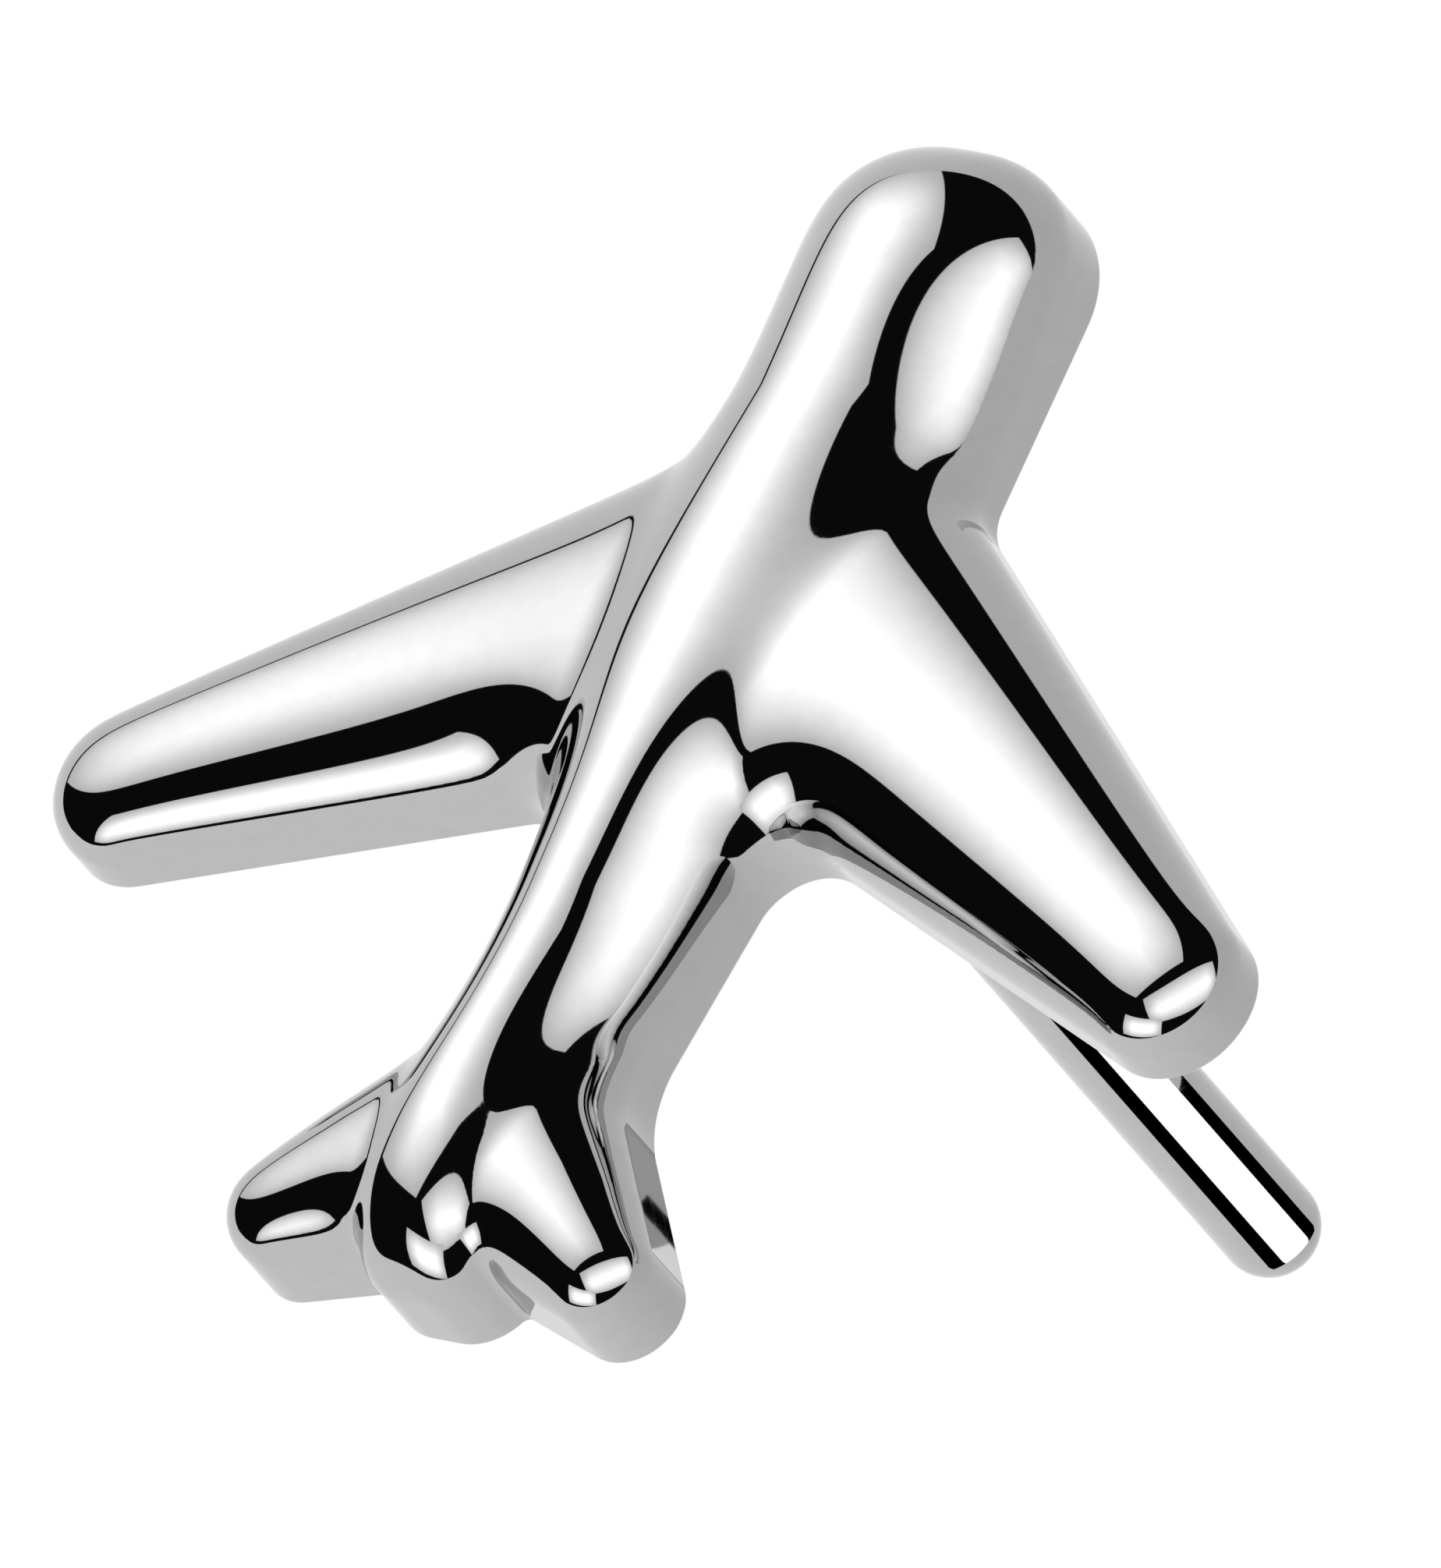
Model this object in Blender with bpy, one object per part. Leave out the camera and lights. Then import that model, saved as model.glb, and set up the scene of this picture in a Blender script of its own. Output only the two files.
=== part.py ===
"""Airplane-shaped push-fit end for body jewellery, with its plug-in pin.

The ornament is one solid casting: a rounded airplane outline, a straight side wall,
a puffed and polished front with a round fuselage on it, and a flat back. A drawn round pin stands in a blind hole
in the back, and a small ring of solder holds it there.

Frame: +Z is up out of the puffed front, +Y points to the nose, +X along the right wing.
The origin is where the pin's axis meets the flat back. Everything is in metres.
"""

import math

import bmesh
import bpy
import numpy as np
from mathutils import Vector
from mathutils.geometry import delaunay_2d_cdt

for item in list(bpy.data.objects):
    bpy.data.objects.remove(item, do_unlink=True)

MM = 0.001

# ---------------------------------------------------------------- driving dimensions
# Fuselage, seen from the front. Y is measured from the pin's axis.
NOSE_Y = 3.09 * MM
NOSE_HALF_WIDTH = 0.80 * MM
NOSE_RADIUS = 0.735 * MM
SHOULDER_HALF_WIDTH = 0.885 * MM
REAR_HALF_WIDTH = 0.69 * MM
WAIST_HALF_WIDTH = 0.56 * MM
CONE_HALF_WIDTH = 0.31 * MM
TAIL_Y = -4.33 * MM

# Wing: where its edges meet the fuselage, and the two corners of its tip.
HALF_SPAN = 4.09 * MM
WING_FRONT_Y = 1.035 * MM
WING_REAR_Y = -1.035 * MM
TIP_FRONT_Y = -1.32 * MM
TIP_REAR_Y = -2.165 * MM
TIP_REAR_INSET = 0.12 * MM

# Tailplane, in the same way.
TAIL_HALF_SPAN = 1.475 * MM
TAIL_FRONT_Y = -2.795 * MM
TAIL_TIP_FRONT_Y = -3.91 * MM
TAIL_TIP_REAR_Y = -4.335 * MM
TAIL_TIP_REAR_INSET = 0.195 * MM
NOTCH_HALF_WIDTH = 0.447 * MM
NOTCH_Y = -4.10 * MM

# Radii of the outline's corners, in the order of the half outline.
WING_FRONT_FILLET = 0.34 * MM
TIP_FRONT_RADIUS = 0.645 * MM
TIP_REAR_RADIUS = 0.62 * MM
WING_REAR_FILLET = 0.37 * MM
WAIST_FILLET = 0.84 * MM
TAIL_TIP_FRONT_RADIUS = 0.35 * MM
TAIL_TIP_REAR_RADIUS = 0.38 * MM
NOTCH_FILLET = 0.06 * MM
CONE_RADIUS = 0.37 * MM

# Radii of the fuselage's own outline, which has no wings: its sides and its tail.
SIDE_RADIUS = 0.80 * MM
FUSELAGE_TAIL_RADIUS = 0.30 * MM

# Thickness and front. A rise is the height that a flat strip 2 mm wide gets.
WALL_HEIGHT = 0.22 * MM
BACK_CHAMFER = 0.03 * MM
WING_RISE = 0.62 * MM
WING_POWER = 0.49
FUSELAGE_RISE = 1.00 * MM
FUSELAGE_POWER = 0.78
FUSELAGE_TAPER = -0.18
BLEND_POWER = 4.1

# The wall grows taller to the nose and to the tail. An ease lowers the fuselage's rise.
NOSE_LIFT = 0.155 * MM
NOSE_LIFT_FROM = 1.2 * MM
NOSE_LIFT_RUN = 1.7 * MM
NOSE_EASE = -0.20
TAIL_LIFT = 0.175 * MM
TAIL_LIFT_FROM = 1.9 * MM
TAIL_LIFT_RUN = 1.6 * MM
TAIL_EASE = 0.09

# Pin and its seat.
PIN_DIAMETER = 0.58 * MM
PIN_LENGTH = 6.05 * MM
SEAT_DEPTH = 0.45 * MM
SEAT_CLEARANCE = 0.015 * MM
SOLDER_LEG = 0.13 * MM

# Mesh fineness.
EDGE_STEP = 0.08 * MM
FACE_STEP = 0.08 * MM
RIM_DEPTHS = (0.005 * MM, 0.02 * MM, 0.05 * MM, 0.09 * MM)
ROUND_STEPS = 40

TINY = 1e-6 * MM

PIN_RADIUS = PIN_DIAMETER / 2
SEAT_RADIUS = PIN_RADIUS + SEAT_CLEARANCE


# ---------------------------------------------------------------- outline
def half_outline():
    """Corners of the right half, nose to tail, each as (x, y, corner radius)."""
    return [
        (0.0, NOSE_Y, 0.0),
        (NOSE_HALF_WIDTH, NOSE_Y, NOSE_RADIUS),
        (SHOULDER_HALF_WIDTH, WING_FRONT_Y, WING_FRONT_FILLET),
        (HALF_SPAN, TIP_FRONT_Y, TIP_FRONT_RADIUS),
        (HALF_SPAN - TIP_REAR_INSET, TIP_REAR_Y, TIP_REAR_RADIUS),
        (REAR_HALF_WIDTH, WING_REAR_Y, WING_REAR_FILLET),
        (WAIST_HALF_WIDTH, TAIL_FRONT_Y, WAIST_FILLET),
        (TAIL_HALF_SPAN, TAIL_TIP_FRONT_Y, TAIL_TIP_FRONT_RADIUS),
        (TAIL_HALF_SPAN - TAIL_TIP_REAR_INSET, TAIL_TIP_REAR_Y, TAIL_TIP_REAR_RADIUS),
        (NOTCH_HALF_WIDTH, NOTCH_Y, NOTCH_FILLET),
        (CONE_HALF_WIDTH, TAIL_Y, CONE_RADIUS),
        (0.0, TAIL_Y, 0.0),
    ]


def half_fuselage():
    """Corners of the fuselage alone, in the same form: the outline without its wings."""
    return [
        (0.0, NOSE_Y, 0.0),
        (NOSE_HALF_WIDTH, NOSE_Y, NOSE_RADIUS),
        (SHOULDER_HALF_WIDTH, WING_FRONT_Y, SIDE_RADIUS),
        (REAR_HALF_WIDTH, WING_REAR_Y, SIDE_RADIUS),
        (WAIST_HALF_WIDTH, TAIL_FRONT_Y, SIDE_RADIUS),
        (NOTCH_HALF_WIDTH, NOTCH_Y, FUSELAGE_TAIL_RADIUS),
        (CONE_HALF_WIDTH, TAIL_Y, FUSELAGE_TAIL_RADIUS),
        (0.0, TAIL_Y, 0.0),
    ]


def corner_tangents(corners):
    """Length that each corner's arc takes from its two sides.

    Where two arcs would need more than the side between them, both are made smaller.
    """
    points = np.array([corner[:2] for corner in corners])
    sides = np.diff(points, axis=0)
    lengths = np.linalg.norm(sides, axis=1)
    sides = sides / lengths[:, None]
    turns = np.arccos(np.clip((sides[:-1] * sides[1:]).sum(axis=1), -1.0, 1.0))
    tangents = np.zeros(len(corners))
    tangents[1:-1] = [corner[2] for corner in corners[1:-1]] * np.tan(turns / 2)
    room = np.minimum(1.0, 0.98 * lengths / (tangents[:-1] + tangents[1:]))
    tangents[1:-1] *= np.minimum(room[:-1], room[1:])
    return points, turns, tangents


def corner_arc(before, corner, after, turn, tangent):
    """Points of the arc that starts and ends one tangent length from the corner."""
    arrive = (corner - before) / np.linalg.norm(corner - before)
    leave = (after - corner) / np.linalg.norm(after - corner)
    radius = tangent / math.tan(turn / 2)
    side = math.copysign(1.0, arrive[0] * leave[1] - arrive[1] * leave[0])
    start = corner - arrive * tangent
    centre = start + side * radius * np.array((-arrive[1], arrive[0]))
    steps = max(5, math.ceil(radius * turn / EDGE_STEP))
    angles = side * np.linspace(0.0, turn, steps + 1)
    arm = start - centre
    cos, sin = np.cos(angles), np.sin(angles)
    return centre + np.column_stack((arm[0] * cos - arm[1] * sin, arm[0] * sin + arm[1] * cos))


def rounded_path(corners):
    """Join the corners' arcs with evenly divided straight runs."""
    points, turns, tangents = corner_tangents(corners)
    path = [points[:1]]
    for index in range(1, len(corners)):
        piece = points[-1:]
        if index < len(corners) - 1:
            trio = points[index - 1:index + 2]
            piece = corner_arc(*trio, turns[index - 1], tangents[index])
        start = path[-1][-1]
        steps = max(1, round(float(np.linalg.norm(piece[0] - start)) / EDGE_STEP))
        fractions = np.linspace(0.0, 1.0, steps + 1)[1:-1, None]
        path += [start + (piece[0] - start) * fractions, piece]
    return np.vstack(path)


def closed_outline(corners):
    """Mirror a half outline into one closed loop, anticlockwise from above."""
    right = rounded_path(corners)
    left = right[1:-1] * (-1.0, 1.0)
    return np.vstack((right[::-1], left))


def inward_normals(loop):
    """Unit normals of an anticlockwise loop, pointing to its inside."""
    along = np.roll(loop, -1, axis=0) - np.roll(loop, 1, axis=0)
    along /= np.linalg.norm(along, axis=1)[:, None]
    return np.column_stack((-along[:, 1], along[:, 0]))


def distance_to_loop(points, loop):
    """Distance of each point to the closed polyline."""
    start = loop
    run = np.roll(loop, -1, axis=0) - loop
    offset = points[:, None, :] - start[None, :, :]
    share = (offset * run).sum(axis=2) / (run ** 2).sum(axis=1)
    share = np.clip(share, 0.0, 1.0)
    gap = offset - share[:, :, None] * run
    return np.sqrt((gap ** 2).sum(axis=2)).min(axis=1)


def inside_loop(points, loop):
    """Even-odd test of each point against the closed polyline."""
    ahead = np.roll(loop, -1, axis=0)
    x, y = points[:, :1], points[:, 1:]
    crosses = (loop[:, 1] > y) != (ahead[:, 1] > y)
    rise = ahead[:, 1] - loop[:, 1]
    rise = np.where(rise == 0.0, 1.0, rise)
    at = loop[:, 0] + (y - loop[:, 1]) / rise * (ahead[:, 0] - loop[:, 0])
    return (crosses & (x < at)).sum(axis=1) % 2 == 1


# ---------------------------------------------------------------- puffed front
def front_points(loop):
    """Plan points of the front: rings that follow the rim, then an even field."""
    normals = inward_normals(loop)
    rings = []
    for depth in RIM_DEPTHS:
        ring = loop + normals * depth
        rings.append(ring[distance_to_loop(ring, loop) > 0.97 * depth])
    row = FACE_STEP * math.sqrt(3) / 2
    low, high = loop.min(axis=0), loop.max(axis=0)
    field = []
    for number, y in enumerate(np.arange(low[1], high[1], row)):
        first = FACE_STEP / 2 if number % 2 else 0.0
        x = np.arange(first, high[0], FACE_STEP)
        field.append(np.column_stack((x, np.full(len(x), y))))
        mirrored = x[x > 0.0]
        field.append(np.column_stack((-mirrored, np.full(len(mirrored), y))))
    field = np.vstack(field)
    field = field[inside_loop(field, loop)]
    clear = RIM_DEPTHS[-1] + 0.55 * FACE_STEP
    field = field[distance_to_loop(field, loop) > clear]
    return np.vstack((loop, *rings, field))


def triangulate(points, edges):
    """Constrained Delaunay triangles of the plan points, as an index array."""
    vectors = [Vector(point / MM) for point in points]
    result = delaunay_2d_cdt(vectors, edges, [], 1, 1e-7)
    sources = [min(origin) for origin in result[3]]
    return np.array([[sources[corner] for corner in face] for face in result[2]])


def rim_field(points, loop):
    """Smooth depth inside a closed loop: 0 on it, and a b / (a + b) between parallel sides.

    It is 2 over the sum, for all sides of the loop, of the change of the cosine along the
    side over the distance from the side's line.
    """
    run = np.roll(loop, -1, axis=0) - loop
    length = np.linalg.norm(run, axis=1)
    along = run / length[:, None]
    inward = np.column_stack((-along[:, 1], along[:, 0]))
    offset = points[:, None, :] - loop[None, :, :]
    away = (offset * inward).sum(axis=2)
    away = np.where(np.abs(away) < TINY, TINY, away)
    near = -(offset * along).sum(axis=2)
    far = near + length
    pull = (far / np.hypot(far, away) - near / np.hypot(near, away)) / away
    return 2.0 / pull.sum(axis=1)


def swell(points, loop, rise, power):
    """Height over the inside of a loop: the rise times a power of twice the rim field."""
    height = np.zeros(len(points))
    inside = inside_loop(points, loop)
    inside[inside] = distance_to_loop(points[inside], loop) > TINY
    height[inside] = rise * (2.0 * rim_field(points[inside], loop) / MM) ** power
    return height


def smooth_step(value):
    """0 below 0, 1 above 1, and 3 t^2 - 2 t^3 between."""
    share = np.clip(value, 0.0, 1.0)
    return share * share * (3.0 - 2.0 * share)


def end_shares(points):
    """How far each point is into the nose's lift and into the tail's, from 0 to 1."""
    nose = smooth_step((points[:, 1] - NOSE_LIFT_FROM) / NOSE_LIFT_RUN)
    tail = smooth_step((-points[:, 1] - TAIL_LIFT_FROM) / TAIL_LIFT_RUN)
    return nose, tail


def wall_heights(points):
    """Height of the side wall's top."""
    nose, tail = end_shares(points)
    return WALL_HEIGHT + NOSE_LIFT * nose + TAIL_LIFT * tail


def front_heights(points):
    """Join the puffed wings and the round fuselage into one smooth front, as a p-norm."""
    wings = swell(points, closed_outline(half_outline()), WING_RISE, WING_POWER)
    body = swell(points, closed_outline(half_fuselage()), FUSELAGE_RISE, FUSELAGE_POWER)
    nose, tail = end_shares(points)
    middle = (NOSE_Y + TAIL_Y) / 2
    body *= 1.0 + FUSELAGE_TAPER * (points[:, 1] - middle) / (NOSE_Y - middle)
    body *= 1.0 - NOSE_EASE * nose - TAIL_EASE * tail
    joined = (wings ** BLEND_POWER + body ** BLEND_POWER) ** (1.0 / BLEND_POWER)
    return wall_heights(points) + joined


# ---------------------------------------------------------------- meshes
def new_object(name, vertices, faces, material):
    """Make one closed mesh object with outward faces."""
    mesh = bpy.data.meshes.new(name)
    mesh.from_pydata([tuple(vertex) for vertex in vertices], [], [tuple(face) for face in faces])
    cleaner = bmesh.new()
    cleaner.from_mesh(mesh)
    bmesh.ops.recalc_face_normals(cleaner, faces=cleaner.faces)
    cleaner.to_mesh(mesh)
    cleaner.free()
    mesh.materials.append(material)
    mesh.shade_smooth()
    mesh.set_sharp_from_angle(angle=math.radians(32))
    item = bpy.data.objects.new(name, mesh)
    bpy.context.scene.collection.objects.link(item)
    return item


def metal(name, colour, roughness):
    """A plain polished metal."""
    material = bpy.data.materials.new(name)
    material.use_nodes = True
    shader = material.node_tree.nodes["Principled BSDF"]
    shader.inputs["Base Color"].default_value = (*colour, 1.0)
    shader.inputs["Metallic"].default_value = 1.0
    shader.inputs["Roughness"].default_value = roughness
    return material


def band(lower, upper):
    """Quads between two rings of the same length, given as index arrays."""
    return np.column_stack((lower, np.roll(lower, -1), np.roll(upper, -1), upper))


def circle(radius):
    """Plan points of a circle about the pin's axis."""
    angles = np.arange(ROUND_STEPS) * 2 * math.pi / ROUND_STEPS
    return radius * np.column_stack((np.cos(angles), np.sin(angles)))


def closed_edges(start, count):
    """Edges of a closed ring of consecutive vertices."""
    return [(start + index, start + (index + 1) % count) for index in range(count)]


def lift(points, height):
    """Plan points set at one height, or at one height each."""
    return np.column_stack((points, np.broadcast_to(height, len(points))))


def make_casting():
    """The airplane: puffed front, straight wall, flat back with the pin's blind hole."""
    rim = closed_outline(half_outline())
    count = len(rim)
    plan = front_points(rim)
    front = triangulate(plan, closed_edges(0, count))
    heights = wall_heights(plan)
    heights[count:] = front_heights(plan[count:])

    back_rim = rim + inward_normals(rim) * BACK_CHAMFER
    mouth = circle(SEAT_RADIUS)
    back_plan = np.vstack((back_rim, mouth))
    back_edges = closed_edges(0, count) + closed_edges(count, ROUND_STEPS)
    back = triangulate(back_plan, back_edges)
    centres = back_plan[back].mean(axis=1)
    back = back[np.linalg.norm(centres, axis=1) > SEAT_RADIUS * math.cos(math.pi / ROUND_STEPS)]

    vertices = np.vstack((
        lift(plan, heights),
        lift(rim, BACK_CHAMFER),
        lift(back_plan, 0.0),
        lift(mouth, SEAT_DEPTH),
    ))
    front_rim = np.arange(count)
    lower_rim = front_rim + len(plan)
    back_ring = lower_rim + count
    mouth_ring = np.arange(ROUND_STEPS) + len(plan) + 2 * count
    seat_ring = mouth_ring + ROUND_STEPS
    faces = [*front, *band(lower_rim, front_rim), *band(back_ring, lower_rim)]
    faces += [*(back + back_ring[0]), *band(mouth_ring, seat_ring), seat_ring]
    return new_object("airplane_casting", vertices, faces, metal("polished_casting", (0.60, 0.60, 0.61), 0.04))


def turned(name, profile, material):
    """Turn a closed profile of (radius, height) about Z. A zero radius is one pole."""
    rings = []
    vertices = []
    for radius, height in profile:
        start = len(vertices)
        ring = lift(circle(radius), height) if radius > 0.0 else np.array([[0.0, 0.0, height]])
        vertices.extend(ring)
        rings.append(np.arange(start, start + len(ring)))
    faces = []
    for lower, upper in zip(rings, rings[1:] + rings[:1]):
        if len(lower) == 1 and len(upper) == 1:
            continue
        if len(lower) == 1:
            faces.extend(np.column_stack((np.full(ROUND_STEPS, lower[0]), np.roll(upper, -1), upper)))
        elif len(upper) == 1:
            faces.extend(np.column_stack((lower, np.roll(lower, -1), np.full(ROUND_STEPS, upper[0]))))
        else:
            faces.extend(band(lower, upper))
    return new_object(name, vertices, faces, material)


def make_pin():
    """A drawn round pin with a domed free end, square at the end in its seat."""
    dome_steps = 8
    profile = [(0.0, -PIN_LENGTH)]
    for step in range(1, dome_steps + 1):
        angle = step / dome_steps * math.pi / 2
        dome_z = PIN_RADIUS - PIN_LENGTH - PIN_RADIUS * math.cos(angle)
        profile.append((PIN_RADIUS * math.sin(angle), dome_z))
    seat_end = SEAT_DEPTH - SEAT_CLEARANCE
    profile += [(PIN_RADIUS, seat_end), (0.0, seat_end)]
    return turned("pin", profile, metal("polished_pin", (0.62, 0.62, 0.63), 0.05))


def make_solder():
    """The hollow-faced ring of solder in the corner between the pin and the back."""
    inner = PIN_RADIUS + SEAT_CLEARANCE
    top = -SEAT_CLEARANCE
    profile = [(inner, top)]
    for step in range(7):
        angle = step / 6 * math.pi / 2
        radius = inner + SOLDER_LEG * (1 - math.sin(angle)) + 0.01 * MM
        height = top - 0.01 * MM - SOLDER_LEG * (1 - math.cos(angle))
        profile.append((radius, height))
    profile.append((inner, profile[-1][1]))
    return turned("solder_ring", profile, metal("solder", (0.66, 0.66, 0.66), 0.12))


make_casting()
make_pin()
make_solder()
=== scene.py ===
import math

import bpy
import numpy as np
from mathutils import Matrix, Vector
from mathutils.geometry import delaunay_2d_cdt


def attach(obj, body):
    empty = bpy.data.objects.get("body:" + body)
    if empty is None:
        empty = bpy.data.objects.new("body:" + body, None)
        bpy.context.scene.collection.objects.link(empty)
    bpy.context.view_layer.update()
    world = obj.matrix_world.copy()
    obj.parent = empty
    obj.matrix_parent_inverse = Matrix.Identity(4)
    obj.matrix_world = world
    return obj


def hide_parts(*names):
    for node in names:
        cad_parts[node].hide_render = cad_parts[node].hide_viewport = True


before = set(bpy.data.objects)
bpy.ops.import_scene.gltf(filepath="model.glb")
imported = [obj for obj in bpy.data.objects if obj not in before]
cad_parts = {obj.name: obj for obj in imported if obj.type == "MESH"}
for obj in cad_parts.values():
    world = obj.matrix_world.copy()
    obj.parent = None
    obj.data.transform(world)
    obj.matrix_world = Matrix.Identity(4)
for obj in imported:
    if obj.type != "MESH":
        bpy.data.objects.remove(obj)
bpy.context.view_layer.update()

# Airplane-shaped push-fit end for body jewellery: a polished casting, its pin and the
# ring of solder between them, over a pale floor and sweep, among soft boxes and cards.
# Lengths are in millimetres and become metres when a mesh is made or the camera placed.
# +Z rises out of the puffed front, +Y points to the nose, +X along the right wing, and
# the origin is where the pin's axis meets the flat back.

MM = 0.001

# ---------------------------------------------------------------- outline of the casting
# Corners of the right half, nose to tail: x, y and the radius of the rounded corner.
HALF_OUTLINE = (
    (0.0, 3.09, 0.0),
    (0.80, 3.09, 0.735),
    (0.885, 1.035, 0.34),
    (4.09, -1.32, 0.645),
    (3.97, -2.165, 0.62),
    (0.69, -1.035, 0.37),
    (0.56, -2.795, 0.84),
    (1.475, -3.91, 0.35),
    (1.28, -4.335, 0.38),
    (0.447, -4.10, 0.06),
    (0.31, -4.33, 0.37),
    (0.0, -4.33, 0.0),
)
# The fuselage alone, in the same form: the outline without its wings.
HALF_FUSELAGE = (
    (0.0, 3.09, 0.0),
    (0.80, 3.09, 0.735),
    (0.885, 1.035, 0.80),
    (0.69, -1.035, 0.80),
    (0.56, -2.795, 0.80),
    (0.447, -4.10, 0.30),
    (0.31, -4.33, 0.30),
    (0.0, -4.33, 0.0),
)
# The fine surface: steps along the rim and over the front, and the first rings' depths.
RIM_STEP = 0.030
GRID_STEP = 0.034
RIM_DEPTHS = (0.0015, 0.004, 0.008, 0.014, 0.022, 0.032, 0.045)

# ---------------------------------------------------------------- thickness and front
# A rise is the height that a straight strip 2 mm wide gets along its middle.
WALL = 0.22
WALL_SHARES = (0.7, 0.4)
BACK_ROUND = 0.03
BACK_ROUND_STEPS = 5
WING_RISE, WING_POWER = 0.62, 0.49
FUSELAGE_RISE, FUSELAGE_POWER, FUSELAGE_TAPER = 1.00, 0.78, -0.18
BLEND_POWER = 4.1
# The wall grows to the nose and to the tail, and the fuselage's rise is eased there.
NOSE_LIFT, NOSE_LIFT_FROM, NOSE_LIFT_RUN, NOSE_EASE = 0.155, 1.2, 1.7, -0.20
TAIL_LIFT, TAIL_LIFT_FROM, TAIL_LIFT_RUN, TAIL_EASE = 0.175, 1.9, 1.6, 0.09
NOSE_Y, TAIL_Y = 3.09, -4.33
# The shortest distance used, the reach of a slope's differences, and points done at once.
TINY = 1e-9
NORMAL_REACH = 0.0005
BATCH = 250

# ---------------------------------------------------------------- pin and solder
PIN_RADIUS, PIN_TIP, SEAT_DEPTH, SEAT_CLEARANCE = 0.29, -6.05, 0.45, 0.015
SEAT_RADIUS = PIN_RADIUS + SEAT_CLEARANCE
# The corner taken off the pin's flat end: how far in and how far up.
PIN_END_INSET, PIN_END_RISE = 0.001, 0.0005
SOLDER_LEG = 0.13
SOLDER_EDGE = 0.01
TURN_STEPS, DOME_STEPS, SHANK_STEPS, SOLDER_STEPS = 96, 20, 14, 14
DOWN, UP = (0.0, 0.0, -1.0), (0.0, 0.0, 1.0)


# ================================================================ shapes
def rounded_outline(half, step):
    """Closed outline, anticlockwise: straight runs joined by one arc for each corner.

    An arc of radius r at a corner that turns by t starts r tan(t / 2) before it. Where two
    arcs would need more than the side between them, both are made smaller.
    """
    corners = np.array(half)
    spots = corners[:, :2]
    sides = np.diff(spots, axis=0)
    lengths = np.linalg.norm(sides, axis=1)
    sides = sides / lengths[:, None]
    turns = np.arccos(np.clip((sides[:-1] * sides[1:]).sum(axis=1), -1.0, 1.0))
    tangents = np.zeros(len(corners))
    tangents[1:-1] = corners[1:-1, 2] * np.tan(turns / 2)
    room = np.minimum(1.0, 0.98 * lengths / (tangents[:-1] + tangents[1:]))
    tangents[1:-1] *= np.minimum(room[:-1], room[1:])
    path = [spots[:1]]
    for index in range(1, len(spots)):
        piece = spots[-1:]
        if index < len(spots) - 1:
            arrive, leave, turn = sides[index - 1], sides[index], turns[index - 1]
            radius = tangents[index] / math.tan(turn / 2)
            side = math.copysign(1.0, arrive[0] * leave[1] - arrive[1] * leave[0])
            start = spots[index] - arrive * tangents[index]
            centre = start + side * radius * np.array((-arrive[1], arrive[0]))
            steps = max(8, math.ceil(radius * turn / step))
            angles = side * np.linspace(0.0, turn, steps + 1)
            arm, cos, sin = start - centre, np.cos(angles), np.sin(angles)
            turned_x, turned_y = arm[0] * cos - arm[1] * sin, arm[0] * sin + arm[1] * cos
            piece = centre + np.column_stack((turned_x, turned_y))
        start = path[-1][-1]
        count = max(1, round(float(np.linalg.norm(piece[0] - start)) / step))
        shares = np.linspace(0.0, 1.0, count + 1)[1:-1, None]
        path += [start + (piece[0] - start) * shares, piece]
    right = np.vstack(path)
    return np.vstack((right[::-1], right[1:-1] * (-1.0, 1.0)))


def rim_normals(rim):
    """Unit normals of the outline, pointing inwards: the tangent turned a quarter left."""
    along = np.roll(rim, -1, axis=0) - np.roll(rim, 1, axis=0)
    along /= np.linalg.norm(along, axis=1)[:, None]
    return np.column_stack((-along[:, 1], along[:, 0]))


def rim_field(spots, rim):
    """Smooth depth inside the outline: 2 over the integral of d cosine over distance squared.

    For each side of the outline the integral has a closed form in the distance along it and
    away from it. The field is 0 on the rim, and between two parallel sides at distances a
    and b it is a b / (a + b).
    """
    run = np.roll(rim, -1, axis=0) - rim
    length = np.linalg.norm(run, axis=1)
    along = run / length[:, None]
    inward = np.column_stack((-along[:, 1], along[:, 0]))
    here = (rim * along).sum(axis=1)
    level = (rim * inward).sum(axis=1)
    result = np.zeros(len(spots))
    for first in range(0, len(spots), BATCH):
        part = spots[first:first + BATCH]
        away = part @ inward.T - level
        near = here - part @ along.T
        far = near + length
        away[np.abs(away) < TINY] = TINY
        square = away * away
        pull = (far / np.sqrt(far * far + square) - near / np.sqrt(near * near + square)) / away
        result[first:first + BATCH] = 2.0 / pull.sum(axis=1)
    return result


def swell(spots, loop, rise, power):
    """Height over spots inside a loop: the rise times a power of twice the rim field."""
    return rise * (2.0 * np.maximum(rim_field(spots, loop), 0.0)) ** power


def end_shares(spots):
    """How far each point is into the nose's and the tail's lift: 3 t^2 - 2 t^3 of its share."""
    shares = []
    ends = ((NOSE_LIFT_FROM, NOSE_LIFT_RUN, 1.0), (TAIL_LIFT_FROM, TAIL_LIFT_RUN, -1.0))
    for start, run, sign in ends:
        share = np.clip((sign * spots[:, 1] - start) / run, 0.0, 1.0)
        shares.append(share * share * (3.0 - 2.0 * share))
    return shares


def wall_height(spots):
    """Height of the side wall's top: the wall and its lifts at the nose and the tail."""
    nose, tail = end_shares(spots)
    return WALL + NOSE_LIFT * nose + TAIL_LIFT * tail


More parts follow.
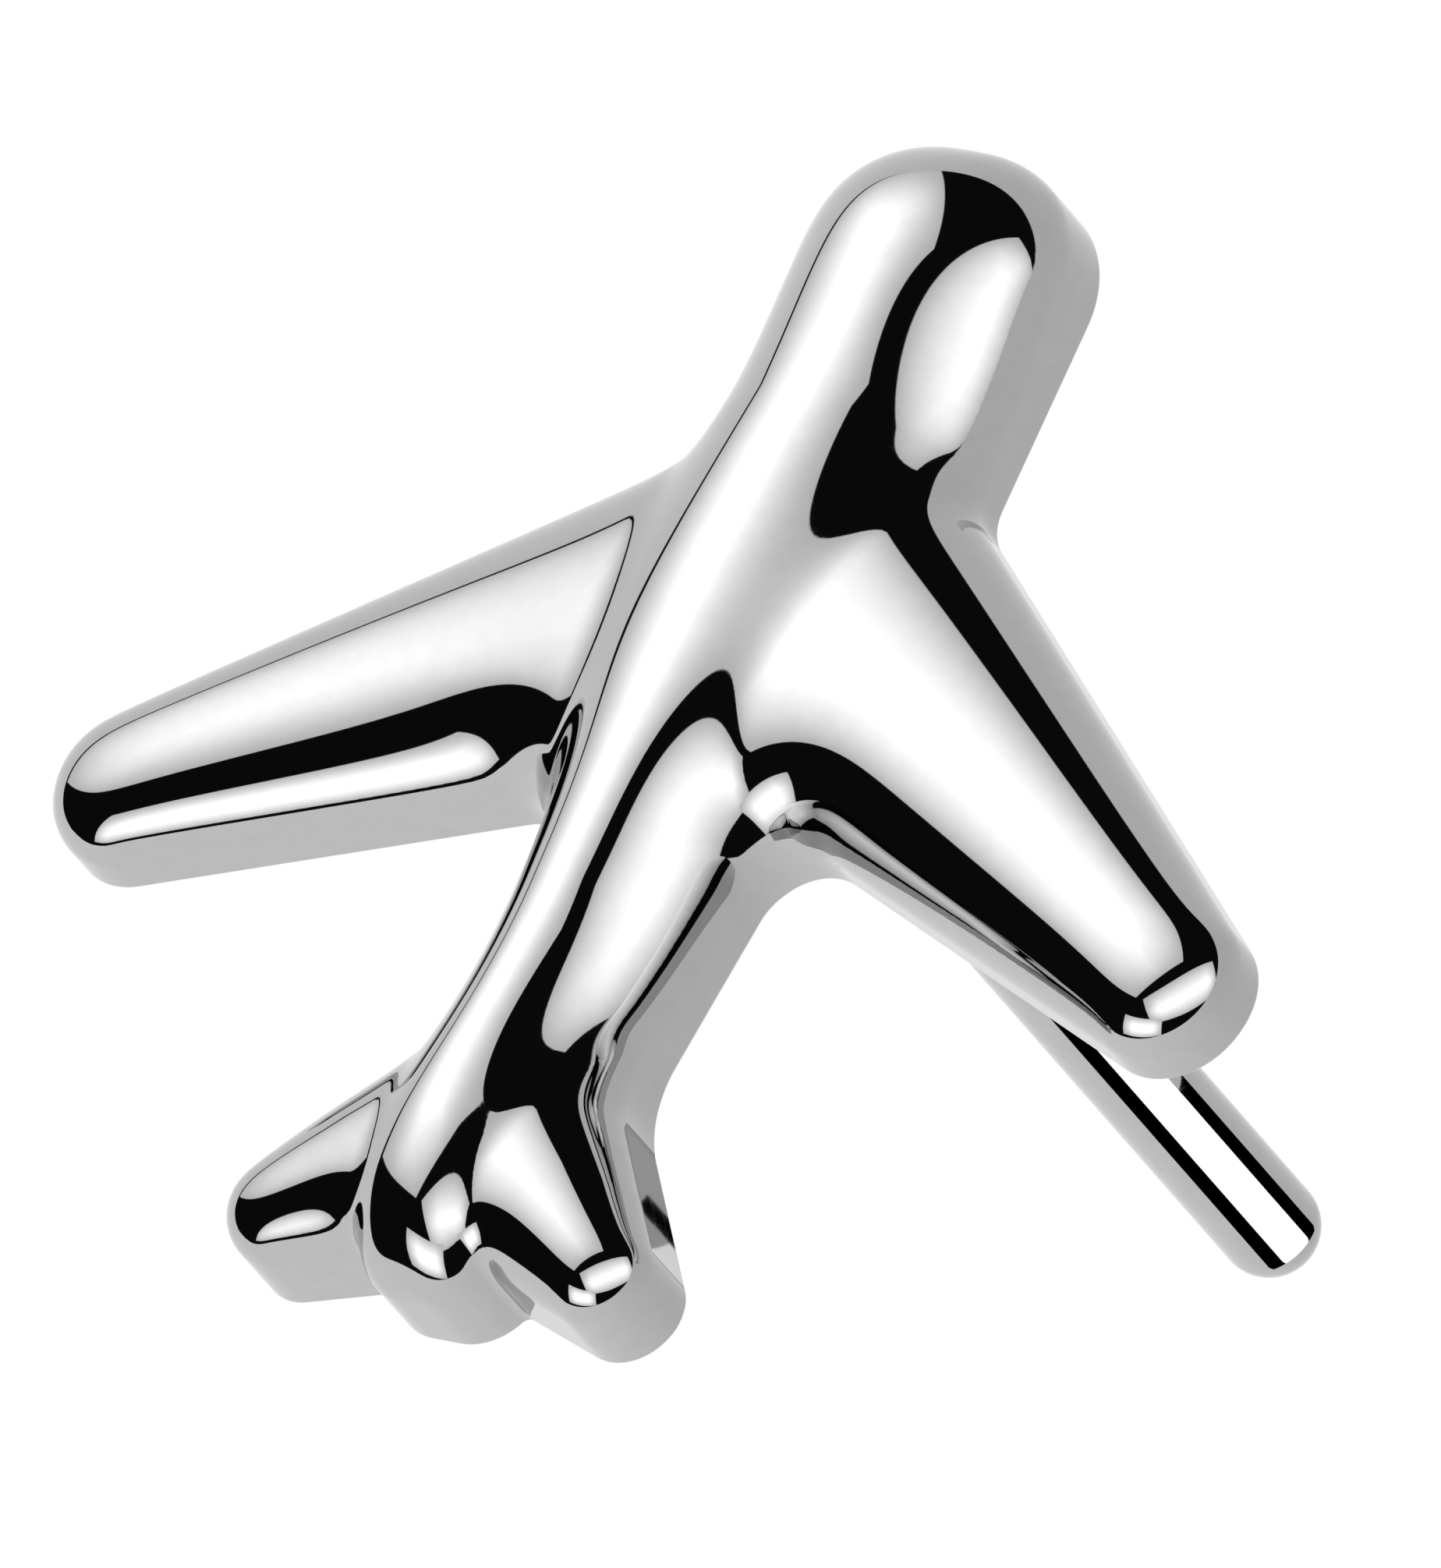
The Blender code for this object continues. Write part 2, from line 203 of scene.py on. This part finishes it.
def front_height(spots, rim, body, over_body):
    """Height of the front: the wall, and on it the puffed wings joined to the fuselage.

    The fuselage's swell tapers evenly from tail to nose, and is none outside the body's
    loop. The two swells join as a p-norm: the root of the sum of their equal powers.
    """
    wings = swell(spots, rim, WING_RISE, WING_POWER)
    fuselage = np.zeros(len(spots))
    fuselage[over_body] = swell(spots[over_body], body, FUSELAGE_RISE, FUSELAGE_POWER)
    nose, tail = end_shares(spots)
    middle = (NOSE_Y + TAIL_Y) / 2
    fuselage *= 1.0 + FUSELAGE_TAPER * (spots[:, 1] - middle) / (NOSE_Y - middle)
    fuselage *= 1.0 - NOSE_EASE * nose - TAIL_EASE * tail
    return wall_height(spots) + (wings ** BLEND_POWER + fuselage ** BLEND_POWER) ** (1.0 / BLEND_POWER)


def front_normals(spots, rim, body, over_body):
    """Unit normals of the front from central differences of its height."""
    slope = []
    for shift in ((NORMAL_REACH, 0.0), (0.0, NORMAL_REACH)):
        ahead = front_height(spots + shift, rim, body, over_body)
        behind = front_height(spots - shift, rim, body, over_body)
        slope.append((ahead - behind) / (2 * NORMAL_REACH))
    normals = np.column_stack((-slope[0], -slope[1], np.ones(len(spots))))
    return normals / np.linalg.norm(normals, axis=1)[:, None]


def distance_and_side(spots, rim):
    """Distance of each point to the outline, and whether it is inside it."""
    ahead = np.roll(rim, -1, axis=0)
    run = ahead - rim
    gaps, inside = [], []
    for first in range(0, len(spots), BATCH):
        part = spots[first:first + BATCH]
        offset = part[:, None, :] - rim[None, :, :]
        share = np.clip((offset * run).sum(axis=2) / (run ** 2).sum(axis=1), 0.0, 1.0)
        gap = offset - share[:, :, None] * run
        gaps.append(np.sqrt((gap ** 2).sum(axis=2)).min(axis=1))
        x, y = part[:, :1], part[:, 1:]
        crosses = (rim[:, 1] > y) != (ahead[:, 1] > y)
        rise = np.where(run[:, 1] == 0.0, 1.0, run[:, 1])
        at = rim[:, 0] + (y - rim[:, 1]) / rise * run[:, 0]
        inside.append((crosses & (x < at)).sum(axis=1) % 2 == 1)
    return np.concatenate(gaps), np.concatenate(inside)


def plan_points(rim):
    """Plan of the front: rings that follow the rim, then an even triangular grid."""
    normals = rim_normals(rim)
    rings = []
    for depth in RIM_DEPTHS:
        ring = rim + normals * depth
        gap, inside = distance_and_side(ring, rim)
        rings.append(ring[(gap > 0.97 * depth) & inside])
    low, high = rim.min(axis=0), rim.max(axis=0)
    rows = np.arange(low[1], high[1], GRID_STEP * math.sqrt(3) / 2)
    columns = np.arange(0.0, high[0], GRID_STEP)
    x = np.concatenate((-columns[:0:-1], columns))
    grid_x, grid_y = np.meshgrid(x, rows)
    grid_x[1::2] += GRID_STEP / 2
    grid = np.column_stack((grid_x.ravel(), grid_y.ravel()))
    gap, inside = distance_and_side(grid, rim)
    grid = grid[inside & (gap > RIM_DEPTHS[-1] + 0.55 * GRID_STEP)]
    return np.vstack((rim, *rings, grid))


def fill(points, rings):
    """Constrained Delaunay triangles between closed rings, given as (first point, count)."""
    edges = []
    for start, count in rings:
        edges += [(start + index, start + (index + 1) % count) for index in range(count)]
    made = delaunay_2d_cdt([Vector(point) for point in points], edges, [], 1, 1e-7)
    sources = np.array([min(origin) for origin in made[3]])
    return sources[np.array(made[2])]


def lift(points, height):
    """Plan points set at one height, or at one height each."""
    return np.column_stack((points, np.broadcast_to(height, len(points))))


def band(lower, upper):
    """Quads between two closed rings of vertex numbers."""
    return np.column_stack((lower, np.roll(lower, -1), np.roll(upper, -1), upper))


def make_piece(name, vertices, faces, normals, material):
    """A mesh from arrays, in millimetres, with one normal for each corner of each face."""
    mesh = bpy.data.meshes.new(name)
    flat = [face for group in faces for face in group.tolist()]
    mesh.from_pydata((vertices * MM).tolist(), [], flat)
    mesh.shade_smooth()
    mesh.normals_split_custom_set(np.vstack([group.reshape(-1, 3) for group in normals]).tolist())
    mesh.materials.append(material)
    piece = bpy.data.objects.new(name, mesh)
    bpy.context.scene.collection.objects.link(piece)
    return piece


def make_casting(material):
    """The airplane in one closed surface: front, wall, rounded back edge, back and seat."""
    rim = rounded_outline(HALF_OUTLINE, RIM_STEP)
    body = rounded_outline(HALF_FUSELAGE, RIM_STEP)
    count = len(rim)
    plan = plan_points(rim)
    front = fill(plan, [(0, count)])
    heights = wall_height(plan)
    inner = plan[count:]
    over_body = distance_and_side(inner, body)[1]
    heights[count:] = front_height(inner, rim, body, over_body)
    outward = lift(-rim_normals(rim), 0.0)
    front_up = np.vstack((outward, front_normals(inner, rim, body, over_body)))

    rows, row_normals = [], []
    for share in WALL_SHARES:
        rows.append(lift(rim, wall_height(rim) * share))
        row_normals.append(outward)
    for angle in np.linspace(0.0, math.pi / 2, BACK_ROUND_STEPS):
        inset = BACK_ROUND * (1.0 - math.cos(angle))
        rows.append(lift(rim - outward[:, :2] * inset, BACK_ROUND * (1.0 - math.sin(angle))))
        row_normals.append(outward * math.cos(angle) + np.array(DOWN) * math.sin(angle))

    turn = np.arange(TURN_STEPS) * 2 * math.pi / TURN_STEPS
    mouth = SEAT_RADIUS * np.column_stack((np.cos(turn), np.sin(turn)))
    back_plan = np.vstack((rows[-1][:, :2], mouth))
    back = fill(back_plan, [(0, count), (count, TURN_STEPS)])
    centres = back_plan[back].mean(axis=1)
    back = back[np.linalg.norm(centres, axis=1) > SEAT_RADIUS * math.cos(math.pi / TURN_STEPS)]
    back = back[:, ::-1]

    vertices = np.vstack((lift(plan, heights), *rows, lift(mouth, 0.0), lift(mouth, SEAT_DEPTH)))
    rings = [np.arange(count)]
    rings += [np.arange(count) + len(plan) + index * count for index in range(len(rows))]
    mouth_ring = np.arange(TURN_STEPS) + len(plan) + len(rows) * count
    seat_ring = mouth_ring + TURN_STEPS
    ring_normals = [outward, *row_normals]
    faces, normals = [front], [front_up[front]]
    for upper, lower, above, below in zip(rings, rings[1:], ring_normals, ring_normals[1:]):
        faces.append(band(lower, upper))
        after_below, after_above = np.roll(below, -1, axis=0), np.roll(above, -1, axis=0)
        normals.append(np.stack((below, after_below, after_above, above), axis=1))
    lookup = np.concatenate((rings[-1], mouth_ring))
    faces.append(lookup[back])
    normals.append(np.broadcast_to(DOWN, (len(back), 3, 3)))
    inward = lift(-mouth / SEAT_RADIUS, 0.0)
    after = np.roll(inward, -1, axis=0)
    faces.append(band(seat_ring, mouth_ring))
    normals.append(np.stack((inward, after, after, inward), axis=1))
    faces.append(seat_ring[None, ::-1])
    normals.append(np.broadcast_to(DOWN, (1, TURN_STEPS, 3)))
    return make_piece("airplane_casting_surface", vertices, faces, normals, material)


def turned(name, profile, slopes, material):
    """A profile of (radius, height) carried round Z. slopes are its outward normals.

    The profile runs from one pole to the other, or is closed where it has no pole.
    """
    profile, slopes = np.array(profile), np.array(slopes, float)
    slopes /= np.linalg.norm(slopes, axis=1)[:, None]
    turn = np.arange(TURN_STEPS) * 2 * math.pi / TURN_STEPS
    circle = np.column_stack((np.cos(turn), np.sin(turn)))
    poles = profile[0][0] == 0.0
    body = slice(1, -1) if poles else slice(None)
    rows = [lift(circle * radius, height) for radius, height in profile[body]]
    tilt = [lift(circle * across, up) for across, up in slopes[body]]
    rings = [np.arange(TURN_STEPS) + index * TURN_STEPS for index in range(len(rows))]
    faces, normals = [], []
    last = len(rings) if not poles else len(rings) - 1
    for index in range(last):
        after = (index + 1) % len(rings)
        faces.append(band(rings[index], rings[after]))
        low, high = tilt[index], tilt[after]
        low_next, high_next = np.roll(low, -1, axis=0), np.roll(high, -1, axis=0)
        normals.append(np.stack((low, low_next, high_next, high), axis=1))
    vertices = np.vstack(rows)
    if poles:
        ends = np.array([(0.0, 0.0, profile[0][1]), (0.0, 0.0, profile[-1][1])])
        vertices = np.vstack((vertices, ends))
        caps = ((rings[0][::-1], tilt[0][::-1], slopes[0][1]), (rings[-1], tilt[-1], slopes[-1][1]))
        for number, (ring, rise, up) in enumerate(caps):
            centre = np.full(TURN_STEPS, len(rows) * TURN_STEPS + number)
            faces.append(np.column_stack((ring, np.roll(ring, -1), centre)))
            tip = np.broadcast_to((0.0, 0.0, up), (TURN_STEPS, 3))
            normals.append(np.stack((rise, np.roll(rise, -1, axis=0), tip), axis=1))
    return make_piece(name, vertices, faces, normals, material)


def make_pin(material):
    """The drawn pin: a straight shank with a domed free end and a flat end in the seat.

    The dome is a quarter circle: radius times sine across, radius times cosine up.
    """
    profile, slopes = [(0.0, PIN_TIP)], [(0.0, -1.0)]
    for angle in np.linspace(0.0, math.pi / 2, DOME_STEPS)[1:]:
        across, up = math.sin(angle), math.cos(angle)
        profile.append((PIN_RADIUS * across, PIN_TIP + PIN_RADIUS * (1.0 - up)))
        slopes.append((across, -up))
    end = SEAT_DEPTH - SEAT_CLEARANCE
    for height in np.linspace(PIN_TIP + PIN_RADIUS, end, SHANK_STEPS)[1:]:
        profile.append((PIN_RADIUS, height))
        slopes.append((1.0, 0.0))
    profile += [(PIN_RADIUS - PIN_END_INSET, end + PIN_END_RISE), (0.0, end + PIN_END_RISE)]
    slopes += [(0.0, 1.0), (0.0, 1.0)]
    return turned("pin_surface", profile, slopes, material)


def make_solder(material):
    """The hollow-faced ring of solder: a quarter circle bent in towards its corner."""
    inner, top = PIN_RADIUS + SEAT_CLEARANCE, -SEAT_CLEARANCE
    profile, slopes = [(inner, top)], [(-1.0, 1.0)]
    for angle in np.linspace(0.0, math.pi / 2, SOLDER_STEPS):
        across, down = math.sin(angle), math.cos(angle)
        radius = inner + SOLDER_LEG * (1 - across) + SOLDER_EDGE
        profile.append((radius, top - SOLDER_EDGE - SOLDER_LEG * (1 - down)))
        slopes.append((across, -down))
    profile.append((inner, profile[-1][1]))
    slopes.append((-1.0, -1.0))
    return turned("solder_ring_surface", profile[::-1], slopes[::-1], material)


# ================================================================ materials
# Scales of the polish's patterns per metre, how thin its hairlines are, how far its
# specks change the tone, and how high its roll stands, in metres.
DRIFT_SCALE, SPECK_SCALE, HAIRLINE_SCALE, HAIRLINE_THINNESS = 900.0, 9000.0, 5200.0, 24.0
SPECK_TONE = 0.10
ROLL_HEIGHT = 0.00002


def new_group(name, inputs, outputs):
    """A shader node group with the named value, vector or colour sockets."""
    kinds = {"value": "NodeSocketFloat", "vector": "NodeSocketVector", "colour": "NodeSocketColor"}
    group = bpy.data.node_groups.new(name, "ShaderNodeTree")
    for label, kind, default in inputs:
        socket = group.interface.new_socket(label, in_out="INPUT", socket_type=kinds[kind])
        socket.default_value = default
    for label, kind in outputs:
        group.interface.new_socket(label, in_out="OUTPUT", socket_type=kinds[kind])
    return group, group.nodes.new("NodeGroupInput"), group.nodes.new("NodeGroupOutput")


def add_node(tree, kind, settings=None, **links):
    """A node with its settings. Each link names an input and gives a socket or a value."""
    node = tree.nodes.new(kind)
    for key, value in (settings or {}).items():
        setattr(node, key, value)
    for key, value in links.items():
        label = int(key[1:]) if key[0] == "i" and key[1:].isdigit() else key.replace("_", " ")
        socket = node.inputs[label]
        if isinstance(value, bpy.types.NodeSocket):
            tree.links.new(value, socket)
        else:
            socket.default_value = value
    return node


def maths(tree, operation, first, second=0.0, third=0.0, clamp=False):
    """A Math node's output."""
    settings = {"operation": operation, "use_clamp": clamp}
    return add_node(tree, "ShaderNodeMath", settings, i0=first, i1=second, i2=third).outputs[0]


def dot_product(tree, first, second):
    """The dot product of two vectors, each a socket or a value."""
    dot = {"operation": "DOT_PRODUCT"}
    return add_node(tree, "ShaderNodeVectorMath", dot, i0=first, i1=second).outputs["Value"]


def build_polish_group():
    """Hand-polished metal: haze that drifts, hairlines, specks, and a slight roll."""
    group, start, end = new_group(
        "hand_polish",
        [("Vector", "vector", (0.0, 0.0, 0.0)), ("Base", "colour", (0.5, 0.5, 0.5, 1.0)),
         ("Rough", "value", 0.03), ("Haze", "value", 0.02), ("Hairline", "value", 0.02)],
        [("Colour", "colour"), ("Roughness", "value"), ("Height", "value")],
    )
    place = start.outputs["Vector"]
    noise = "ShaderNodeTexNoise"
    drift = add_node(group, noise, Vector=place, Scale=DRIFT_SCALE, Detail=3.0, Roughness=0.55)
    speck = add_node(group, noise, Vector=place, Scale=SPECK_SCALE, Detail=2.0, Roughness=0.6)
    bands = {"wave_type": "BANDS", "bands_direction": "DIAGONAL"}
    lines = add_node(
        group, "ShaderNodeTexWave", bands,
        Vector=place, Scale=HAIRLINE_SCALE, Distortion=6.0, Detail=3.0,
    )
    hair = maths(group, "POWER", lines.outputs["Fac"], HAIRLINE_THINNESS)
    hair = maths(group, "MULTIPLY", hair, start.outputs["Hairline"])
    haze = maths(group, "MULTIPLY", drift.outputs["Fac"], start.outputs["Haze"])
    rough = maths(group, "ADD", start.outputs["Rough"], haze)
    rough = maths(group, "ADD", rough, hair, clamp=True)
    tone = maths(group, "MULTIPLY_ADD", speck.outputs["Fac"], SPECK_TONE, 1.0 - SPECK_TONE / 2)
    scale = {"operation": "SCALE"}
    colour = add_node(group, "ShaderNodeVectorMath", scale, i0=start.outputs["Base"], Scale=tone)
    group.links.new(colour.outputs[0], end.inputs["Colour"])
    group.links.new(rough, end.inputs["Roughness"])
    group.links.new(drift.outputs["Fac"], end.inputs["Height"])
    return group


def metal(name, polish, base, rough, haze, hairline, bump):
    """Principled metal whose grey, roughness and bump come from the polish group."""
    material = bpy.data.materials.new(name)
    material.use_nodes = True
    tree = material.node_tree
    shader = tree.nodes["Principled BSDF"]
    shader.inputs["Metallic"].default_value = 1.0
    place = add_node(tree, "ShaderNodeTexCoord")
    finish = add_node(
        tree, "ShaderNodeGroup", {"node_tree": polish},
        Vector=place.outputs["Object"], Base=(base, base, base, 1.0),
        Rough=rough, Haze=haze, Hairline=hairline,
    )
    height = finish.outputs["Height"]
    roll = add_node(tree, "ShaderNodeBump", Strength=bump, Distance=ROLL_HEIGHT, Height=height)
    tree.links.new(finish.outputs["Colour"], shader.inputs["Base Color"])
    tree.links.new(finish.outputs["Roughness"], shader.inputs["Roughness"])
    tree.links.new(roll.outputs["Normal"], shader.inputs["Normal"])
    return material


# ================================================================ studio
def direction(azimuth, elevation):
    """Unit vector. Azimuth 0 is -Y and 90 is +X, elevation is above the horizon."""
    a, e = math.radians(azimuth), math.radians(elevation)
    return np.array((math.sin(a) * math.cos(e), -math.cos(a) * math.cos(e), math.sin(e)))


def level_direction(azimuth):
    """The level direction at right angles to an azimuth, to its growing side."""
    a = math.radians(azimuth)
    return np.array((math.cos(a), math.sin(a), 0.0))


def panel_axes(azimuth, elevation, roll):
    """Centre direction of a soft box and its two side directions."""
    centre = direction(azimuth, elevation)
    across = level_direction(azimuth)
    up = np.cross(centre, across)
    cos, sin = math.cos(math.radians(roll)), math.sin(math.radians(roll))
    return centre, across * cos + up * sin, up * cos - across * sin


def build_panel_group():
    """A soft box seen in a direction: its light falls from a peak to a lower edge.

    A place on the box is the direction's share along each of its sides over its share
    along the centre. The distance inside the edge, over the fade, gives the light. The
    mask is 1 inside and 0 outside.
    """
    group, start, end = new_group(
        "soft_box",
        [("Direction", "vector", (0.0, 0.0, 1.0)), ("Centre", "vector", (0.0, 0.0, 1.0)),
         ("Across", "vector", (1.0, 0.0, 0.0)), ("Up", "vector", (0.0, 1.0, 0.0)),
         ("Half Width", "value", 0.3), ("Half Height", "value", 0.3), ("Fade", "value", 0.2),
         ("Peak", "value", 3.0), ("Edge", "value", 1.0), ("Below", "value", 0.0)],
        [("Light", "value")],
    )
    shares = []
    for label in ("Centre", "Across", "Up"):
        side = start.outputs[label]
        shares.append(dot_product(group, start.outputs["Direction"], side))
    ahead = maths(group, "MAXIMUM", shares[0], BARELY_AHEAD)
    masks, ramps = [maths(group, "GREATER_THAN", shares[0], BARELY_AHEAD)], []
    for share, half in ((shares[1], "Half Width"), (shares[2], "Half Height")):
        place = maths(group, "ABSOLUTE", maths(group, "DIVIDE", share, ahead))
        inside = maths(group, "SUBTRACT", start.outputs[half], place)
        masks.append(maths(group, "MULTIPLY", inside, 1.0 / BOX_SHARPNESS, clamp=True))
        ramps.append(maths(group, "DIVIDE", inside, start.outputs["Fade"], clamp=True))
    mask = maths(group, "MULTIPLY", maths(group, "MULTIPLY", masks[0], masks[1]), masks[2])
    ramp = maths(group, "MULTIPLY", ramps[0], ramps[1])
    span = maths(group, "SUBTRACT", start.outputs["Peak"], start.outputs["Edge"])
    level = maths(group, "MULTIPLY_ADD", ramp, span, start.outputs["Edge"])
    step = maths(group, "SUBTRACT", level, start.outputs["Below"])
    light = maths(group, "MULTIPLY_ADD", mask, step, start.outputs["Below"])
    group.links.new(light, end.inputs["Light"])
    return group


# Soft boxes: azimuth, elevation and roll of the centre, half width and half height as
# tangents, the fade towards the edge in the same measure, peak light and edge light.
SOFT_BOXES = (
    (233.9, 52.0, 2.0, 0.71, 0.88, 0.80, 3.1, 0.95),
    (76.6, 40.7, -33.5, 1.22, 0.56, 0.52, 2.45, 0.94),
    (-2.3, 21.0, -8.0, 0.46, 0.33, 0.24, 2.4, 1.0),
)
# How far a box's or the sweep's hard edge runs, the light of the dark between the boxes,
# and the least share ahead that counts as in front of a box.
BOX_SHARPNESS = 0.012
DARK = 0.006
BARELY_AHEAD = 1e-3

# The sweep: its light and the changes along X and Y, and how far it rises above the
# horizon, with the changes along X and Y. The floor takes the same light.
SWEEP_LIGHT, SWEEP_LIGHT_X, SWEEP_LIGHT_Y = 0.956, -0.089, -0.134
SWEEP_EDGE, SWEEP_EDGE_X, SWEEP_EDGE_Y = 0.06, -0.06, 0.11
FLOOR_DEPTH, FLOOR_HALF = 60.0, 20000.0


def level_across(tree, place, flat, along_x, along_y):
    """A level that is flat, plus its changes along X and Y times the direction's shares."""
    return maths(tree, "ADD", dot_product(tree, place, (along_x, along_y, 0.0)), flat)


def camera_sees_white(tree, lit, plain, out):
    """The lit shader for reflections, and the plain white one for the camera."""
    seen = add_node(tree, "ShaderNodeLightPath").outputs["Is Camera Ray"]
    mix = add_node(tree, "ShaderNodeMixShader", Fac=seen, i1=lit.outputs[0], i2=plain.outputs[0])
    tree.links.new(mix.outputs[0], out.inputs["Surface"])


def build_world(box_group):
    """Soft boxes over black and the top of the pale sweep, and plain white to the camera."""
    world = bpy.data.worlds.new("studio")
    bpy.context.scene.world = world
    world.use_nodes = True
    tree = world.node_tree
    tree.nodes.clear()
    place = add_node(tree, "ShaderNodeTexCoord").outputs["Generated"]
    light = DARK
    for azimuth, elevation, roll, wide, high, fade, peak, edge in SOFT_BOXES:
        centre, across, up = panel_axes(azimuth, elevation, roll)
        box = add_node(
            tree, "ShaderNodeGroup", {"node_tree": box_group},
            Direction=place, Centre=tuple(centre), Across=tuple(across), Up=tuple(up),
            Half_Width=wide, Half_Height=high, Fade=fade, Peak=peak, Edge=edge, Below=light,
        )
        light = box.outputs["Light"]
    edge = level_across(tree, place, SWEEP_EDGE, SWEEP_EDGE_X, SWEEP_EDGE_Y)
    height = add_node(tree, "ShaderNodeSeparateXYZ", Vector=place).outputs["Z"]
    under = maths(tree, "DIVIDE", maths(tree, "SUBTRACT", edge, height), BOX_SHARPNESS, clamp=True)
    sweep = level_across(tree, place, SWEEP_LIGHT, SWEEP_LIGHT_X, SWEEP_LIGHT_Y)
    light = maths(tree, "MULTIPLY_ADD", under, maths(tree, "SUBTRACT", sweep, light), light)
    studio = add_node(tree, "ShaderNodeBackground", Strength=light)
    plain = add_node(tree, "ShaderNodeBackground", Strength=1.0)
    for shader in (studio, plain):
        shader.inputs["Color"].default_value = (1.0, 1.0, 1.0, 1.0)
    camera_sees_white(tree, studio, plain, add_node(tree, "ShaderNodeOutputWorld"))


def build_floor():
    """A plain pale floor well below the pin, its light following the sweep's."""
    height = PIN_TIP - FLOOR_DEPTH
    corners = np.array([(-1, -1, height), (1, -1, height), (1, 1, height), (-1, 1, height)], float)
    corners[:, :2] *= FLOOR_HALF
    material = bpy.data.materials.new("pale_floor")
    material.use_nodes = True
    tree = material.node_tree
    tree.nodes.clear()
    place = add_node(tree, "ShaderNodeTexCoord").outputs["Object"]
    ahead = add_node(tree, "ShaderNodeVectorMath", {"operation": "NORMALIZE"}, i0=place)
    level = level_across(tree, ahead.outputs["Vector"], SWEEP_LIGHT, SWEEP_LIGHT_X, SWEEP_LIGHT_Y)
    lit = add_node(tree, "ShaderNodeEmission", Strength=level)
    plain = add_node(tree, "ShaderNodeEmission", Strength=1.0)
    camera_sees_white(tree, lit, plain, add_node(tree, "ShaderNodeOutputMaterial"))
    up = np.broadcast_to(UP, (1, 4, 3))
    floor = make_piece("floor", corners, [np.array([[0, 1, 2, 3]])], [up], material)


# Cards round the pin, out of the camera's sight: azimuth from and to, top and light.
PIN_CARDS = ((0.6, 32.6, -4.8, 0.0), (32.6, 104.0, -5.2, 2.4), (104.0, 134.6, -6.0, 0.0))
CARD_RADIUS, CARD_LOW = 2.0, -8.3
CARD_STEPS = 25


def build_pin_cards():
    """Upright curved cards low round the pin: black, white, black.

    They stand where the pin reflects them towards the camera and the casting hardly does.
    """
    for number, (start, stop, top, light) in enumerate(PIN_CARDS):
        angles = np.radians(np.linspace(start, stop, CARD_STEPS))
        arc = CARD_RADIUS * np.column_stack((np.sin(angles), -np.cos(angles)))
        vertices = np.vstack((lift(arc, CARD_LOW), lift(arc, top)))
        first = np.arange(len(arc) - 1)
        quads = np.column_stack((first, first + 1, first + 1 + len(arc), first + len(arc)))
        inward = lift(-arc / CARD_RADIUS, 0.0)
        facing = np.stack((inward[:-1], inward[1:], inward[1:], inward[:-1]), axis=1)
        material = bpy.data.materials.new(f"card_{number}")
        material.use_nodes = True
        tree = material.node_tree
        tree.nodes.clear()
        glow = add_node(tree, "ShaderNodeEmission", Strength=light)
        out = add_node(tree, "ShaderNodeOutputMaterial")
        tree.links.new(glow.outputs[0], out.inputs["Surface"])
        card = make_piece(f"pin_card_{number}", vertices, [quads], [facing], material)
        card.visible_camera = False


# The camera: azimuth, elevation and roll, its lens and sensor, the height that it takes in,
# and its aim from the origin, to its right, up and towards it.
CAMERA_AZIMUTH, CAMERA_ELEVATION, CAMERA_ROLL = 60.62, 45.53, 41.33
CAMERA_LENS, CAMERA_SENSOR = 1500.0, 36.0
CAMERA_HEIGHT = 8.521
CAMERA_AIM = (-0.3555, -0.5996, 0.6)


def build_camera():
    """A long lens at the object's angle, framed in the picture's upright format."""
    centre = direction(CAMERA_AZIMUTH, CAMERA_ELEVATION)
    level = level_direction(CAMERA_AZIMUTH)
    rise = np.cross(centre, level)
    cos, sin = math.cos(math.radians(CAMERA_ROLL)), math.sin(math.radians(CAMERA_ROLL))
    right = level * cos - rise * sin
    up = rise * cos + level * sin
    away = CAMERA_HEIGHT * CAMERA_LENS / CAMERA_SENSOR
    target = right * CAMERA_AIM[0] + up * CAMERA_AIM[1] + centre * CAMERA_AIM[2]
    data = bpy.data.cameras.new("camera")
    data.lens = CAMERA_LENS
    data.sensor_width = CAMERA_SENSOR
    data.clip_start, data.clip_end = 0.005, 10.0
    camera = bpy.data.objects.new("camera", data)
    bpy.context.scene.collection.objects.link(camera)
    place = Matrix(np.column_stack((right, up, centre)).tolist()).to_4x4()
    place.translation = Vector((target + centre * away) * MM)
    camera.matrix_world = place
    bpy.context.scene.camera = camera


# ================================================================ assembly
polish = build_polish_group()
casting = make_casting(metal("polished_casting", polish, 0.45, 0.015, 0.02, 0.01, 0.02))
pin = make_pin(metal("polished_pin", polish, 0.45, 0.02, 0.02, 0.02, 0.02))
solder = make_solder(metal("solder", polish, 0.50, 0.10, 0.08, 0.04, 0.10))
for piece, node, slot in (
    (casting, "airplane_casting", "polished_casting"),
    (pin, "pin", "polished_pin"),
    (solder, "solder_ring", "solder"),
):
    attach(piece, "root")
    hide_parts(node)

build_camera()
build_floor()
build_pin_cards()
build_world(build_panel_group())
bpy.context.scene.view_settings.view_transform = "Standard"
